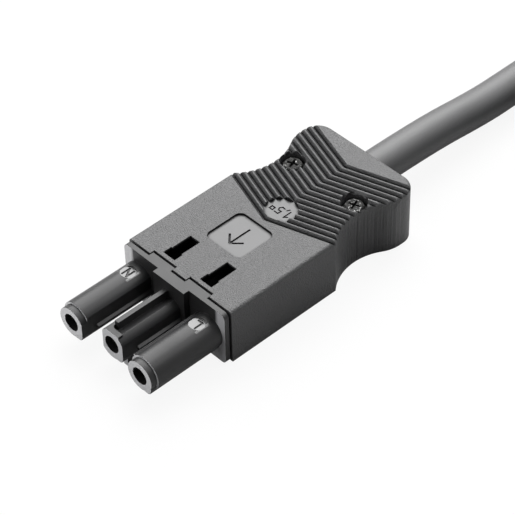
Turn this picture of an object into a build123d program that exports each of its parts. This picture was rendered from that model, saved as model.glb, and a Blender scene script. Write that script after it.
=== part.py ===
from build123d import *
import math
import os

# Installation connector cable: a flat three-pole socket connector, screwed onto the
# end of a round flexible three-core cable that is stripped at its far end.
#
# While it is drawn, x = 0 is the front face of the contact carrier's flange, +X runs
# back towards the cable, +Z is up and y = 0 is the middle plane. At the end every
# piece is moved by the same amount along X, so that the origin lies under the middle
# of the connector, on the surface that it stands on. All sizes are in millimetres.

# Poles, from live (-Y) over earth (middle) to neutral (+Y)
pole_pitch = 10.0
pole_lift = 0.05

# Grip housing, seen from above: straight sides, a waist for the fingers, a wider rear
housing_rear = 53.5
waist_from_rear = 15.5
waist_depth = 2.95
waist_radius = 12.4
rear_inset = 0.25
rear_bulge_radius = 8.0
rear_corner_radius = 4.0
wall = 1.6
roof = 1.6
base_thickness = 1.6
top_edge_radius = 0.8
cable_floor_gap = 1.55
cable_roof_gap = 0.45

# Joint between the carrier's flange and the housing
flange_thickness = 1.13
flange_side_inset = 0.25
flange_inset = 0.16
flange_corner_radius = 1.1
nose_width = 8.9
nose_reach = 1.36
seam_gap = 0.44
tab_inner = 2.03
tab_from_pole = 1.59
tab_length = 1.15
fit_gap = 0.12

# Insulating sleeves around the contacts
sleeve_reach = 17.9
earth_setback = 1.7
sleeve_radius = 3.8
collar_radius = 3.35
collar_length = 1.45
sleeve_bore = 3.9
sleeve_flat = 3.1
earth_sleeve_radius = 3.45
earth_flat_top = 3.35
earth_flat_left = 2.65
heel_y = 2.75
heel_z = 2.95
heel_round = 0.5
ledge_reach = 0.6
ledge_thickness = 0.9
ledge_drop = 0.75
ledge_fall = 0.35
ledge_front = 14.2
ledge_root = 0.5
channel_floor = 2.45
channel_edge_angle = 30.0
channel_from_tip = 1.2
rib_from_tip = 2.1
rib_left = 1.18
rib_width = 1.05
rib_rise = 0.95
key_rib_width = 0.45
key_rib_height = 0.3
key_rib_angle = 41.0
keel_width = 1.25
keel_depth = 1.6
keel_y = -2.1
pad_diameter = 3.4
pad_behind_front = 3.1
pad_depth = 0.35
letter_height = 2.0

# Carrier behind the flange
neck_length = 2.0
tower_overhang = 2.13
pocket_wall = 0.53
tower_side_gap = 0.15
carrier_floor = 1.3

# Contacts: turned brass sockets with a screw clamp behind
contact_bore = 3.0
contact_outer = 3.7
contact_bore_depth = 13.5
contact_recess = 2.5
clamp_start = 5.0
clamp_length = 9.0
clamp_width = 4.7
clamp_below = 2.4
clamp_above = 2.7
wire_hole = 2.6
wire_hole_depth = 8.2
clamp_screw_diameter = 3.0
clamp_screw_from_rear = 4.4
clamp_screw_sink = 0.6
screw_slot_width = 0.6
screw_slot_depth = 0.8

# Marking on top of the housing
window_front = 3.6
window_length = 7.0
window_lip_length = 2.1
window_offset = 0.3
window_width = 2.75
window_lip_width = 3.3
panel_size = 10.0
panel_x = 17.6
panel_depth = 0.4
panel_corner = 1.6
arrow_length = 5.6
arrow_head = 2.0
engraving_width = 0.42
engraving_depth = 0.25
groove_count = 15
groove_pitch = 1.6
groove_from_rear = 28.93
groove_mouth = 1.3
groove_floor = 0.14
groove_depth = 0.75
groove_angle = 18.0
disc_from_rear = 24.6
disc_diameter = 7.2
disc_facets = 12
digit_height = 2.05
digit_stroke = 0.27
letter_stroke = 0.42
mark_overrun = 0.8
mark_gap = 0.3
mark_depth = 0.2

# Cover screws, which also press the two cable jaws together
screw_from_waist = 2.7
screw_from_side = 2.7
screw_diameter = 2.5
screw_head_diameter = 4.2
screw_head_height = 1.5
screw_head_crown = 0.4
screw_sink = 0.9
screw_well = 5.6
screw_boss_diameter = 6.8
screw_boss_depth = 5.2
base_boss_diameter = 4.3
screw_bite = 5.0
recess_length = 2.6
recess_width = 0.55
recess_depth = 0.9
recess_turn = 20.0

# Cable jaws, half on the cover and half on the base
jaws_from_rear = (7.9, 4.4)
jaw_thickness = 1.5
jaw_half_width = 6.0

# Cable
cable_diameter = 8.1
cable_hole_gap = 0.15
sheath_from_rear = 26.0
core_diameter = 3.0
core_play = 0.02
copper_diameter = 1.6
conductor_gap = 0.3
core_gap = 1.0
core_straight = 3.5
core_bend_radius = 3.2

# Cable outside the housing: a straight run that sinks to the floor, and a neat coil of
# three turns side by side, with the cable's last stretch lying on the inner two. Two ties
# hold it, and it rests on them. Angles are taken around the coil's axis from +X, and the
# cable runs clockwise from 90 degrees
coil_x = 127.8
coil_middle_radius = 40.5
climb_angle = 140.0
free_end_angle = -36.0
coil_margin = 0.3
tie_width = 9.0
tie_thickness = 0.7
tie_angles = (-14.0, 194.0)
leadin_clearance = 1.0

# Stripped far end, where the cores part a little and end in ferrules
free_core_straight = 6.0
free_core_length = 20.0
free_core_spread = 2.4
free_core_lift = 0.25
ferrule_diameter = 2.0
ferrule_length = 8.0
ferrule_collar_diameter = 3.7
ferrule_collar_length = 6.0
ferrule_overlap = 2.5

# Sizes that follow from the ones above
cable_radius = cable_diameter / 2
cable_height = base_thickness + cable_floor_gap + cable_radius
cavity_top = cable_height + cable_radius + cable_roof_gap
housing_height = cavity_top + roof
pole_height = housing_height / 2 + pole_lift
tower_width = clamp_width + 2 * (fit_gap + pocket_wall)
housing_width = 2 * (pole_pitch + tower_width / 2 + tower_side_gap + wall)
rear_half_width = housing_width / 2 - rear_inset
waist_half_width = rear_half_width - waist_depth
waist_x = housing_rear - waist_from_rear
flange_width = housing_width - 2 * flange_side_inset
cover_front = flange_thickness + seam_gap
tab_outer = pole_pitch - tab_from_pole
window_middle = pole_pitch / 2 + window_offset
clamp_bottom = pole_height - clamp_below
clamp_top = pole_height + clamp_above
ledge_top = pole_height - ledge_drop
clamp_rear = clamp_start + clamp_length
tower_length = clamp_rear + tower_overhang - flange_thickness
core_start = clamp_rear + core_gap
groove_first = housing_rear - groove_from_rear
disc_x = housing_rear - disc_from_rear
screw_x = waist_x + screw_from_waist
screw_y = waist_half_width - screw_from_side
jaw_x = [housing_rear - distance for distance in jaws_from_rear]
sheath_start = housing_rear - sheath_from_rear
earth_reach = sleeve_reach - earth_setback
core_offset = core_diameter / math.sqrt(3)
coil_bottom = tie_thickness + coil_margin + cable_radius
coil_step = cable_diameter / 2 * math.sqrt(3)
coil_y = -(coil_middle_radius + cable_diameter)
coil_outer_radius = coil_middle_radius + cable_diameter + cable_radius + coil_margin
leadin_reach = coil_middle_radius + cable_radius
leadin_length = math.sqrt(coil_outer_radius**2 - leadin_reach**2) + leadin_clearance
upper_radius = coil_middle_radius - cable_radius
middle_x = (housing_rear - sleeve_reach) / 2
exit_x = housing_rear - wall / 2

# Route of the cable from the housing to the coil
run_points = [
    (exit_x, 0.0, cable_height),
    (70.2, 0.0, cable_height),
    (87.9, 0.0, coil_bottom),
    (coil_x - leadin_length, 0.0, coil_bottom),
]


def box(x0, x1, y0, y1, z0, z1):
    """Box between two corners."""
    size = (x1 - x0, y1 - y0, z1 - z0)
    return Pos((x0 + x1) / 2, (y0 + y1) / 2, (z0 + z1) / 2) * Box(*size)


def rod_x(x0, x1, y, z, radius):
    """Round bar along X."""
    return Pos((x0 + x1) / 2, y, z) * Rot(0, 90, 0) * Cylinder(radius, x1 - x0)


def rod_z(x, y, z0, z1, radius):
    """Round bar along Z."""
    return Pos(x, y, (z0 + z1) / 2) * Cylinder(radius, z1 - z0)


def section_prism(edges, x0, x1):
    """Prism along X over a closed outline of (y, z) points."""
    points = [(x0, y, z) for y, z in edges]
    face = make_face(Polyline(*points, close=True))
    return extrude(face, amount=x1 - x0, dir=(1, 0, 0))


def plan_face(inset, front):
    """Plan outline of the housing, moved inwards by inset and cut off at x = front."""
    half = housing_width / 2 - inset
    waist_r = waist_radius + inset
    bulge_r = rear_bulge_radius - inset
    corner_r = rear_corner_radius - inset
    waist_y = waist_half_width + waist_radius
    bulge_y = rear_half_width - rear_bulge_radius
    centres = waist_radius + rear_bulge_radius
    bulge_x = waist_x + math.sqrt(centres**2 - (waist_y - bulge_y) ** 2)
    shoulder_angle = math.asin((half - waist_y) / waist_r)
    join_angle = math.asin((bulge_y - waist_y) / centres)
    corner_x = housing_rear - rear_corner_radius
    corner_y = rear_half_width - rear_corner_radius
    shoulder = (waist_x - waist_r * math.cos(shoulder_angle), half)
    shoulder_deg = 180 - math.degrees(shoulder_angle)
    join_deg = 360 + math.degrees(join_angle)
    half_edges = [
        Line((front, half), shoulder),
        CenterArc((waist_x, waist_y), waist_r, shoulder_deg, join_deg - shoulder_deg),
        CenterArc((bulge_x, bulge_y), bulge_r, 90, join_deg - 180 - 90),
        Line((bulge_x, rear_half_width - inset), (corner_x, rear_half_width - inset)),
        CenterArc((corner_x, corner_y), corner_r, 0, 90),
    ]
    edges = half_edges + [edge.mirror(Plane.XZ) for edge in half_edges]
    edges.append(Line((front, half), (front, -half)))
    edges.append(Line((housing_rear - inset, corner_y), (housing_rear - inset, -corner_y)))
    return make_face(edges)


def chevron_groove(apex_x):
    """V-sided groove across the top, its two arms swept back from a point on y = 0."""
    top = housing_height
    slope = (groove_mouth - groove_floor) / 2 / groove_depth
    over = top_edge_radius
    mouth = groove_mouth / 2 + slope * over
    section = Polyline(
        (apex_x - mouth, 0, top + over),
        (apex_x - groove_floor / 2, 0, top - groove_depth),
        (apex_x + groove_floor / 2, 0, top - groove_depth),
        (apex_x + mouth, 0, top + over),
        close=True,
    )
    tilt = math.radians(groove_angle)
    reach = housing_width / 2 / math.cos(tilt) + 1
    sweep_back = (math.sin(tilt), math.cos(tilt), 0)
    arm = extrude(make_face(section), amount=reach, dir=sweep_back)
    return arm + arm.mirror(Plane.XZ)


def engraved_arrow():
    """Arrow that points to the mating face, as two strokes and a shaft."""
    top = housing_height - panel_depth
    tip = panel_x - arrow_length / 2
    width = engraving_width
    shaft = box(tip, tip + arrow_length, -width / 2, width / 2, top - engraving_depth, top + 1)
    barb = box(0, arrow_head * math.sqrt(2), -width / 2, width / 2, top - engraving_depth,
               top + 1)
    arrow = shaft
    for turn in (45, -45):
        arrow += Pos(tip, 0, 0) * Rot(0, 0, turn) * barb
    return arrow


# Strokes of the plain marks, in units of their height. The letter q stands for the small
# raised square that means square millimetres
glyphs = {
    "1": [[(0.0, 0.72), (0.28, 1.0), (0.28, 0.0)]],
    "5": [[(0.55, 1.0), (0.08, 1.0), (0.04, 0.56), (0.38, 0.6), (0.55, 0.32), (0.36, 0.02),
           (0.0, 0.08)]],
    ",": [[(0.12, 0.1), (0.0, -0.16)]],
    "q": [[(0.0, 0.6), (0.0, 1.0), (0.4, 1.0), (0.4, 0.6), (0.0, 0.6)]],
    "N": [[(0.0, 0.0), (0.0, 1.0), (0.62, 0.0), (0.62, 1.0)]],
    "L": [[(0.0, 1.0), (0.0, 0.0), (0.52, 0.0)]],
}


def mark_cutter(text, height, stroke_width):
    """Tool that engraves plain characters into z = 0, centred, reading along +Y."""
    cutter = None
    start = 0.0
    for letter in text:
        for stroke in glyphs[letter]:
            for first, last in zip(stroke, stroke[1:]):
                x0, y0 = start + first[0] * height, first[1] * height
                x1, y1 = start + last[0] * height, last[1] * height
                length = math.hypot(x1 - x0, y1 - y0) + stroke_width * mark_overrun
                angle = math.degrees(math.atan2(y1 - y0, x1 - x0))
                bar = box(-length / 2, length / 2, -stroke_width / 2, stroke_width / 2,
                          -mark_depth, 1)
                bar = Pos((x0 + x1) / 2, (y0 + y1) / 2, 0) * Rot(0, 0, angle) * bar
                cutter = bar if cutter is None else cutter + bar
        start += (max(x for stroke in glyphs[letter] for x, _ in stroke) + mark_gap) * height
    width = start - mark_gap * height
    return Rot(0, 0, 90) * Pos(-width / 2, -height / 2, 0) * cutter


def latch_window(side):
    """Through opening for a latch, wider at its front."""
    rear = window_front + window_length
    middle = side * window_middle
    narrow = box(window_front, rear, middle - window_width / 2, middle + window_width / 2,
                 cavity_top - 1, housing_height + 1)
    wide = box(window_front, window_front + window_lip_length,
               middle - window_lip_width / 2, middle + window_lip_width / 2,
               cavity_top - 1, housing_height + 1)
    return narrow + wide


def cable_jaw(x, z0, z1):
    """Upright rib that grips the sheath over half of its girth."""
    rib = box(x - jaw_thickness / 2, x + jaw_thickness / 2,
              -jaw_half_width, jaw_half_width, z0, z1)
    return rib - rod_x(x - jaw_thickness, x + jaw_thickness, 0, cable_height, cable_radius)


def housing_cover():
    """Upper shell with the full side walls, the grip and the screw wells."""
    body = extrude(plan_face(0, cover_front), amount=housing_height)
    top = body.faces().sort_by(Axis.Z)[-1]
    rim = [edge for edge in top.edges() if edge.center().X > cover_front + 0.1]
    body = fillet(rim, top_edge_radius)
    envelope = extrude(plan_face(wall / 2, cover_front), amount=housing_height - roof / 2)
    cavity = extrude(plan_face(wall, cover_front - 1), amount=cavity_top)
    body -= cavity
    well_floor = housing_height - screw_sink - screw_head_height
    boss_bottom = housing_height - screw_boss_depth
    for side in (1, -1):
        boss = rod_z(screw_x, side * screw_y, boss_bottom, cavity_top + roof / 4,
                     screw_boss_diameter / 2)
        body += boss & envelope
        body -= rod_z(screw_x, side * screw_y, well_floor, housing_height + 1, screw_well / 2)
        body -= rod_z(screw_x, side * screw_y, 0, housing_height, screw_diameter / 2 + fit_gap)
        body -= rod_z(screw_x, side * screw_y, -1, boss_bottom,
                      base_boss_diameter / 2 + fit_gap)
        body -= latch_window(side)
    for x in jaw_x:
        body += cable_jaw(x, cable_height, cavity_top + roof / 4)
    slot = cable_radius + cable_hole_gap
    body -= rod_x(housing_rear - 2 * wall, housing_rear + 1, 0, cable_height, slot)
    body -= box(housing_rear - 1.5 * wall, housing_rear + 1, -slot, slot, -1, cable_height)
    tab_edge = cover_front + tab_length
    for side in (1, -1):
        inner, outer = sorted((side * (tab_inner - fit_gap), side * (tab_outer + fit_gap)))
        body -= box(cover_front - 1, tab_edge, inner, outer, cavity_top - 1, housing_height + 1)
    for index in range(groove_count):
        body -= chevron_groove(groove_first + index * groove_pitch)
    disc = Pos(disc_x, 0, housing_height - groove_depth) * extrude(
        RegularPolygon(disc_diameter / 2, disc_facets), amount=groove_depth + 1)
    body -= disc
    panel = Pos(panel_x, 0, housing_height - panel_depth) * extrude(
        RectangleRounded(panel_size, panel_size, panel_corner), amount=panel_depth + 1)
    body -= panel
    body -= engraved_arrow()
    body -= Pos(disc_x, 0, housing_height - groove_depth) * mark_cutter(
        "1,5q", digit_height, digit_stroke)
    return body


def housing_base():
    """Floor plate inside the cover's walls, with screw posts and the lower cable jaws."""
    inset = wall + fit_gap
    base = extrude(plan_face(inset, cover_front), amount=base_thickness)
    post_top = housing_height - screw_boss_depth
    for side in (1, -1):
        base += rod_z(screw_x, side * screw_y, 0, post_top, base_boss_diameter / 2)
    for x in jaw_x:
        base += cable_jaw(x, base_thickness / 2, cable_height)
    tongue_half = cable_radius + cable_hole_gap - fit_gap
    tongue = box(housing_rear - inset - 1, housing_rear, -tongue_half, tongue_half,
                 0, cable_height)
    base += tongue - rod_x(housing_rear - 3 * wall, housing_rear + 1, 0, cable_height,
                           cable_radius + cable_hole_gap)
    screw_tip = post_top - screw_bite
    for side in (1, -1):
        base -= rod_z(screw_x, side * screw_y, screw_tip, post_top + 1, screw_diameter / 2)
    return base


def heel(y, z, x0, x1):
    """Squared lower corner of a sleeve, on its -Y side."""
    outline = [
        (y, z - heel_z - heel_round / 2),
        (y - heel_y + heel_round, z - heel_z - heel_round / 2),
        (y - heel_y, z - heel_z),
        (y - sleeve_flat, z - heel_z + heel_round * 2),
        (y - sleeve_flat, z),
        (y, z),
    ]
    return section_prism(outline, x0, x1)


def ledge(flat_y, x0):
    """Narrow ledge along a sleeve's flat right side, with a top that falls outwards."""
    inside, outside = flat_y + ledge_root, flat_y - ledge_reach
    low = ledge_top - ledge_thickness
    outline = [(inside, low), (outside, low), (outside, ledge_top - ledge_fall),
               (flat_y, ledge_top), (inside, ledge_top)]
    return section_prism(outline, x0, 0)


def line_sleeve(y, flat_side, key_side):
    """Live or neutral sleeve: a collar, the round body, its squared corner and keys."""
    z = pole_height
    tip = -sleeve_reach
    step = tip + collar_length
    sleeve = rod_x(tip, 0, y, z, collar_radius) + rod_x(step, 0, y, z, sleeve_radius)
    sleeve += heel(y, z, tip, 0)
    if flat_side:
        cut_y = y - sleeve_flat
        sleeve -= box(tip - 1, 1, cut_y - sleeve_radius, cut_y, z - heel_z - 1,
                      z + 2 * sleeve_radius)
        sleeve += ledge(cut_y, -ledge_front)
    if key_side:
        reach = sleeve_radius + key_rib_height
        key = box(step, 0, 0, reach, -key_rib_width / 2, key_rib_width / 2)
        sleeve += Pos(0, y, z) * Rot(key_rib_angle, 0, 0) * key
    return sleeve


def earth_sleeve():
    """Middle sleeve: flat sides and tip, a raised rib beside a channel, and a keel."""
    z = pole_height
    tip = -earth_reach
    step = tip + collar_length
    radius = earth_sleeve_radius
    top = z + earth_flat_top
    rib_front = tip + rib_from_tip
    rib_right = rib_left - rib_width
    shoulder = earth_flat_left - heel_round * 2
    sleeve = rod_x(tip, 0, 0, z, radius) + heel(0, z, tip, 0)
    channel_front = tip + channel_from_tip
    sleeve += box(tip, channel_front, -sleeve_flat + heel_round * 2, shoulder, z, top)
    sleeve += box(channel_front, 0, rib_right, shoulder, z, top)
    sleeve &= box(tip, 0, -sleeve_flat, earth_flat_left, 0, top)
    floor_z = z + channel_floor
    edge_y, edge_z = beside((0, z), radius, 90 + channel_edge_angle)
    channel = [(rib_right, floor_z), (edge_y, edge_z), (edge_y, top + 1), (rib_right, top + 1)]
    sleeve -= section_prism(channel, channel_front, 1)
    sleeve -= rod_z(rib_front, rib_right, floor_z, top + 1, rib_front - channel_front)
    sleeve += box(rib_front, 0, rib_right, rib_left, top - rib_rise, top + rib_rise)
    sleeve += ledge(-sleeve_flat, -ledge_front + earth_setback)
    sleeve += box(step, 0, keel_y - keel_width / 2, keel_y + keel_width / 2,
                  z - radius - keel_depth, z - radius / 2)
    return sleeve


def marking_pad(y):
    """Flat round pad that is cut into the top of a sleeve near its root."""
    x = -pad_behind_front
    z = pole_height + sleeve_radius - pad_depth
    return rod_z(x, y, z, z + 2, pad_diameter / 2)


def tower(y):
    """Block behind the flange with the pocket for one screw clamp."""
    x1 = flange_thickness + tower_length
    top = cavity_top - fit_gap
    bottom = base_thickness + fit_gap
    block = box(flange_thickness, x1, y - tower_width / 2, y + tower_width / 2, bottom, top)
    half = clamp_width / 2 + fit_gap
    block -= box(clamp_start - fit_gap, x1 + 1, y - half, y + half,
                 clamp_bottom - fit_gap, clamp_top + fit_gap)
    screw_at = clamp_rear - clamp_screw_from_rear
    block -= rod_z(screw_at, y, clamp_top - 1, top + 1, clamp_screw_diameter / 2 + 2 * fit_gap)
    return block


def contact_carrier():
    """One moulding: flange, the three sleeves and the clamp pockets behind them."""
    z0 = flange_inset
    z1 = housing_height - flange_inset
    bottom = base_thickness + fit_gap
    neck_half = housing_width / 2 - wall - fit_gap
    neck_end = flange_thickness + neck_length
    flange = box(0, flange_thickness, -flange_width / 2, flange_width / 2, z0, z1)
    flange = fillet(flange.edges().filter_by(Axis.X), flange_corner_radius)
    nose = box(-nose_reach, 0, -nose_width / 2, nose_width / 2, z0, z1)
    carrier = flange + nose
    carrier += box(flange_thickness, neck_end, -neck_half, neck_half, bottom,
                   cavity_top - fit_gap)
    carrier += box(flange_thickness, flange_thickness + tower_length, -neck_half, neck_half,
                   bottom, bottom + carrier_floor)
    for side in (1, -1):
        inner, outer = sorted((side * tab_inner, side * tab_outer))
        carrier += box(flange_thickness, cover_front + tab_length - seam_gap, inner, outer,
                       cavity_top - fit_gap, z1)
    for index in (-1, 0, 1):
        carrier += tower(index * pole_pitch)
    carrier += line_sleeve(pole_pitch, True, False)
    carrier += line_sleeve(-pole_pitch, False, True)
    carrier += earth_sleeve()
    for index in (-1, 0, 1):
        carrier -= rod_x(-sleeve_reach - 1, clamp_start, index * pole_pitch, pole_height,
                         sleeve_bore / 2)
    mark_z = pole_height + sleeve_radius - pad_depth
    for side, letter in ((1, "N"), (-1, "L")):
        carrier -= marking_pad(side * pole_pitch)
        mark = mark_cutter(letter, letter_height, letter_stroke)
        carrier -= Pos(-pad_behind_front, side * pole_pitch, mark_z) * mark
    return carrier


def contact(y, reach):
    """Brass socket with its screw clamp block, as one turned and milled piece."""
    front = -reach + contact_recess
    tube = rod_x(front, clamp_start + 0.5, y, pole_height, contact_outer / 2)
    block = box(clamp_start, clamp_rear, y - clamp_width / 2, y + clamp_width / 2,
                clamp_bottom, clamp_top)
    piece = tube + block
    piece -= rod_x(front - 1, front + contact_bore_depth, y, pole_height, contact_bore / 2)
    piece -= rod_x(clamp_rear - wire_hole_depth, clamp_rear + 1, y, wire_axis(), wire_hole / 2)
    piece -= rod_z(clamp_rear - clamp_screw_from_rear, y, wire_axis(), clamp_top + 1,
                   clamp_screw_diameter / 2)
    return piece


def wire_axis():
    """Height of the wire hole in a screw clamp."""
    return clamp_bottom + (clamp_top - clamp_bottom) * 0.4


def wire_rest():
    """Height of a conductor's axis where it lies at the bottom of its hole."""
    return wire_axis() - wire_hole / 2 + copper_diameter / 2 + core_play


def clamp_screw(y):
    """Slotted headless screw that presses a conductor into its clamp."""
    x = clamp_rear - clamp_screw_from_rear
    bottom = wire_rest() + copper_diameter / 2 + core_play
    top = cavity_top - 2 * fit_gap - clamp_screw_sink
    screw = rod_z(x, y, bottom, top, clamp_screw_diameter / 2)
    slot = box(x - clamp_screw_diameter, x + clamp_screw_diameter, y - screw_slot_width / 2,
               y + screw_slot_width / 2, top - screw_slot_depth, top + 1)
    return screw - slot


def cover_screw(side):
    """Pan-head screw with a cross recess, turned down through the cover into the base."""
    x, y = screw_x, side * screw_y
    head_bottom = housing_height - screw_sink - screw_head_height
    head_top = head_bottom + screw_head_height
    head = rod_z(x, y, head_bottom, head_top, screw_head_diameter / 2)
    head = fillet(head.edges().sort_by(Axis.Z)[-1], screw_head_height * screw_head_crown)
    tip = housing_height - screw_boss_depth - screw_bite
    screw = head + rod_z(x, y, tip, head_bottom, screw_diameter / 2)
    for turn in (recess_turn, recess_turn + 90):
        blade = box(-recess_length / 2, recess_length / 2, -recess_width / 2,
                    recess_width / 2, -recess_depth, 1)
        screw -= Pos(x, y, head_top) * Rot(0, 0, turn) * blade
    return screw


def tube_along(points, radii, radius):
    """Round tube along straight runs that are joined by tangent arcs."""
    path = FilletPolyline(*points, radius=radii) if radii else Line(*points)
    start = Plane(origin=path @ 0, z_dir=path % 0)
    return sweep(start * Circle(radius), path=path)


def route_radii(points, share=0.45):
    """Arc radius at each inner point: as large as its two runs allow."""
    radii = []
    for before, here, after in zip(points, points[1:], points[2:]):
        run_in = Vector(*here) - Vector(*before)
        run_out = Vector(*after) - Vector(*here)
        turn = math.radians(run_in.get_angle(run_out))
        radii.append(share * min(run_in.length, run_out.length) / math.tan(turn / 2))
    return radii


def core(y, end_y, end_z):
    """Insulated core from its clamp to the end of the sheath."""
    bend_start = core_start + core_straight
    bend_end = sheath_start - core_straight
    points = [
        (core_start, y, wire_rest()),
        (bend_start, y, wire_rest()),
        (bend_end, end_y, end_z),
        (sheath_start, end_y, end_z),
    ]
    return tube_along(points, [core_bend_radius] * 2, core_diameter / 2)


def conductor(y):
    """Bare stranded end of a core, inside its clamp."""
    start = clamp_rear - wire_hole_depth + conductor_gap
    return rod_x(start, core_start, y, wire_rest(), copper_diameter / 2)


def core_places():
    """The three cores' places around the cable's axis: name, pole, side and height."""
    low = -core_offset / 2
    return [
        ("neutral", pole_pitch, core_diameter / 2 + core_play, low),
        ("earth", 0.0, 0.0, core_offset + core_play),
        ("live", -pole_pitch, -core_diameter / 2 - core_play, low),
    ]


def beside(centre, radius, angle):
    """Point on a circle of the coil's section."""
    turn = math.radians(angle)
    return (centre[0] + radius * math.cos(turn), centre[1] + radius * math.sin(turn))


def coil_face(grow, stacked):
    """Outline around three turns side by side, with a fourth in the inner groove if stacked."""
    radius = cable_radius + grow
    inner = (coil_middle_radius - cable_diameter, coil_bottom)
    outer = (coil_middle_radius + cable_diameter, coil_bottom)
    base_line = Line(beside(inner, radius, -90), beside(outer, radius, -90))
    if not stacked:
        return make_face([
            base_line,
            CenterArc(outer, radius, -90, 180),
            Line(beside(outer, radius, 90), beside(inner, radius, 90)),
            CenterArc(inner, radius, 90, 180),
        ])
    upper = (upper_radius, coil_bottom + coil_step)
    return make_face([
        base_line,
        CenterArc(outer, radius, -90, 150),
        Line(beside(outer, radius, 60), beside(upper, radius, 60)),
        CenterArc(upper, radius, 60, 90),
        Line(beside(upper, radius, 150), beside(inner, radius, 150)),
        CenterArc(inner, radius, 150, 120),
    ])


def around_coil(face, start_angle, angle):
    """Ring section swept around the coil's axis from start_angle onwards."""
    ring = revolve(Plane.XZ * face, Axis.Z, revolution_arc=angle)
    return Pos(coil_x, coil_y, 0) * Rot(0, 0, start_angle) * ring


def cable_coil():
    """Outer shape of the coil, with the stub where the cable runs into it."""
    lower = around_coil(coil_face(coil_margin, False), 0, 360)
    upper_angle = climb_angle - free_end_angle
    upper = around_coil(coil_face(coil_margin, True), free_end_angle, upper_angle)
    leadin = rod_x(coil_x - leadin_length, coil_x, 0, coil_bottom, cable_radius)
    return lower + upper + leadin


def coil_tie(angle):
    """Hook-and-loop band around the coil's turns."""
    stacked = free_end_angle < angle < climb_angle
    band = coil_face(coil_margin + tie_thickness, stacked) - coil_face(coil_margin, stacked)
    sweep_angle = math.degrees(tie_width / coil_middle_radius)
    return around_coil(band, angle - sweep_angle / 2, sweep_angle)


def cable_in_housing():
    """Sheathed cable from its inner end through the jaws to the rear wall."""
    return rod_x(sheath_start, exit_x, 0, cable_height, cable_radius)


def cable_end():
    """Plane across the sheath's far end: x outwards from the coil, y up, z onwards."""
    angle = math.radians(free_end_angle)
    outwards = (math.cos(angle), math.sin(angle), 0)
    onwards = (math.sin(angle), -math.cos(angle), 0)
    origin = (
        coil_x + upper_radius * outwards[0],
        coil_y + upper_radius * outwards[1],
        coil_bottom + coil_step,
    )
    return Plane(origin=origin, x_dir=outwards, z_dir=onwards)


def free_core_path(side, height):
    """Path of one core beyond the sheath, parting from its neighbours."""
    spread = free_core_spread * (1 if side > 0 else -1 if side < 0 else 0)
    lift = free_core_spread / 2 if side == 0 else free_core_lift
    end = cable_end()
    points = [
        end.from_local_coords(Vector(side, height, 0)),
        end.from_local_coords(Vector(side, height, free_core_straight)),
        end.from_local_coords(Vector(side + spread, height + lift, free_core_length)),
    ]
    return [tuple(point) for point in points]


def free_core(side, height):
    """Insulated core beyond the sheath."""
    points = free_core_path(side, height)
    return tube_along(points, route_radii(points), core_diameter / 2)


def ferrule_place(side, height):
    """Plane across the end of a core's insulation."""
    before, last = free_core_path(side, height)[1:]
    return Plane(origin=last, z_dir=Vector(*last) - Vector(*before))


def ferrule(side, height):
    """Crimped metal sleeve on the bare end of a core."""
    length = ferrule_collar_length - ferrule_overlap + ferrule_length
    return ferrule_place(side, height) * Pos(0, 0, length / 2) * Cylinder(
        ferrule_diameter / 2, length)


def ferrule_collar(side, height):
    """Plastic funnel that joins a ferrule to its core's insulation."""
    start = -ferrule_overlap
    rear = ferrule_collar_length - ferrule_overlap
    radius = ferrule_collar_diameter / 2
    collar = rod_z(0, 0, start, rear, radius) - rod_z(0, 0, start - 1, 0, core_diameter / 2)
    collar -= rod_z(0, 0, -1, rear + 1, ferrule_diameter / 2)
    return ferrule_place(side, height) * collar


def export_all(nodes):
    """Move every piece into the object's own frame and write it."""
    os.makedirs("parts", exist_ok=True)
    for name, piece in nodes.items():
        export_step(Pos(-middle_x, 0, 0) * piece, f"parts/{name}.step")


nodes = {
    "housing_cover": housing_cover(),
    "housing_base": housing_base(),
    "contact_carrier": contact_carrier(),
    "cover_screw_left": cover_screw(1),
    "cover_screw_right": cover_screw(-1),
}
for name, pole_y, side, height in core_places():
    reach = earth_reach if name == "earth" else sleeve_reach
    nodes[f"contact_{name}"] = contact(pole_y, reach)
    nodes[f"clamp_screw_{name}"] = clamp_screw(pole_y)
    nodes[f"conductor_{name}"] = conductor(pole_y)
    nodes[f"core_{name}"] = core(pole_y, side, cable_height + height)
nodes["cable_in_housing"] = cable_in_housing()
nodes["cable_run"] = tube_along(run_points, route_radii(run_points), cable_radius)
nodes["cable_coil"] = cable_coil()
print("arc radii of the run", [round(radius, 1) for radius in route_radii(run_points)])
for number, angle in enumerate(tie_angles, start=1):
    nodes[f"coil_tie_{number}"] = coil_tie(angle)
for name, _, side, height in core_places():
    nodes[f"free_core_{name}"] = free_core(side, height)
    nodes[f"ferrule_{name}"] = ferrule(side, height)
    nodes[f"ferrule_collar_{name}"] = ferrule_collar(side, height)
export_all(nodes)
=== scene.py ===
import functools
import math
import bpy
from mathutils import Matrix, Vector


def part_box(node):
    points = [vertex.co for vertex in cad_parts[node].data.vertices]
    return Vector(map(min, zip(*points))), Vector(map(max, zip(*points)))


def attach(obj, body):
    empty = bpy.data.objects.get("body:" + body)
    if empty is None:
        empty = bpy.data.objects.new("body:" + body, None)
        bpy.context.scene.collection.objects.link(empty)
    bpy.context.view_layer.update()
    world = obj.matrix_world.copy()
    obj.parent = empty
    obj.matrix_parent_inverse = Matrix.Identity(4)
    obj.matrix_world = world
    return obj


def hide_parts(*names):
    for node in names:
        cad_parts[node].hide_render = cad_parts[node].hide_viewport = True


bl_info = {
    "name": "Installation Connector Cable",
    "version": (1, 0, 0),
    "blender": (4, 5, 0),
    "location": "View3D > Sidebar > Connector",
    "description": "Finishes a flat three-pole socket connector and lays its coiled cable",
    "category": "Object",
}

import bmesh
import bpy
from bpy.props import FloatProperty, FloatVectorProperty, IntProperty, PointerProperty
from mathutils import Matrix, Vector

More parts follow.
